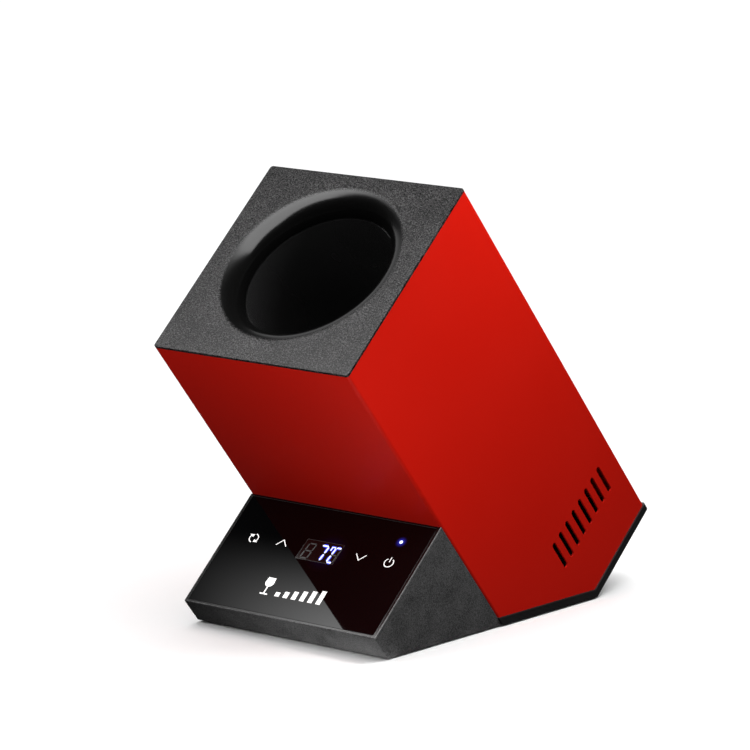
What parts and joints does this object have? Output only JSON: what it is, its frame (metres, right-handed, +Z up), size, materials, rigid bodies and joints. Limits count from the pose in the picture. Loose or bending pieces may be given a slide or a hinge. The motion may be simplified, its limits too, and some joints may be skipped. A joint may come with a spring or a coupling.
{
  "type": "wine cooler",
  "caption": "Leaning square column with a round well for a bottle, and a wedge at its foot with a touch-glass control panel.",
  "frame": {"origin": "on the floor, midway across, and midway between the front and rear extremes", "axes": "+Z up, -Y towards the user who faces the control panel, +X to that user's right"},
  "size_m": [0.142, 0.2974, 0.2611],
  "materials": {
    "sleeve_paint": "satin powder coat",
    "bezel_plastic": "fine textured",
    "well_liner": "black anodised",
    "base_plastic": "satin moulded",
    "wedge_plastic": "leather grained",
    "touch_glass": "tinted, polished",
    "display": "diffusing",
    "lamp": "diffusing",
    "foam": "expanded bead foam",
    "rubber": "matte",
    "silicone": "matte",
    "bare_aluminium": "extruded",
    "steel": "zinc plated",
    "black_steel": "black oxide",
    "black_aluminium": "black anodised",
    "ceramic_white": "fired ceramic",
    "semiconductor": "sintered",
    "thermal_pad": "matte",
    "circuit_board": "solder masked",
    "black_plastic": "moulded",
    "white_plastic": "moulded",
    "copper": "enamelled wire",
    "capacitor_sleeve": "shrink film",
    "ferrite": "sintered",
    "brass": "turned",
    "lead_jacket": "matte",
    "lead_red": "matte",
    "tape": "foam tape"
  },
  "bodies": {
    "cooler": {"base_cover": "base_plastic", "base_screws": "steel", "bottle_rest_pad": "silicone", "bottle_well": "well_liner", "buzzer": "black_plastic", "clamp_screws": "steel", "clamp_washers": "white_plastic", "cold_block": "bare_aluminium", "control_chips": "black_plastic", "control_glass": "touch_glass", "control_pcb": "circuit_board", "corner_brackets": "steel", "dc_jack": "black_plastic", "display_module": "display", "fan_bearing": "brass", "fan_coils": "copper", "fan_frame": "black_plastic", "fan_lead": "lead_jacket", "fan_screws": "black_steel", "fan_stator": "ferrite", "glass_tape": "tape", "heat_sink": "black_aluminium", "insulation_left": "foam", "insulation_right": "foam", "jack_lead": "lead_jacket", "jack_pin": "brass", "outer_sleeve": "sleeve_paint", "panel_floor": "base_plastic", "panel_housing": "wedge_plastic", "panel_screws": "steel", "pcb_screws": "steel", "peltier_ceramics": "ceramic_white", "peltier_gasket": "tape", "peltier_lead": "lead_red", "peltier_pellets": "semiconductor", "power_capacitors": "capacitor_sleeve", "power_inductor": "copper", "power_pcb": "circuit_board", "power_pcb_screws": "steel", "power_transistors": "black_plastic", "ribbon_cable": "white_plastic", "rubber_feet": "rubber", "sink_bracket": "black_steel", "status_led": "lamp", "thermal_pads": "thermal_pad", "thermistor": "ferrite", "top_bezel": "bezel_plastic", "touch_springs": "copper", "transistor_heat_sink": "bare_aluminium", "well_seal_ring": "tape", "wire_headers": "white_plastic"},
    "fan": {"fan_rotor": "black_plastic", "fan_shaft": "steel", "fan_magnet": "ferrite"}
  },
  "joints": [
    {"name": "fan_spin", "type": "hinge", "parent": "cooler", "child": "fan", "pos_m": [0, 0.09285, 0.0381], "axis": [0, -0.6691, 0.7431], "continuous": true}
  ]
}
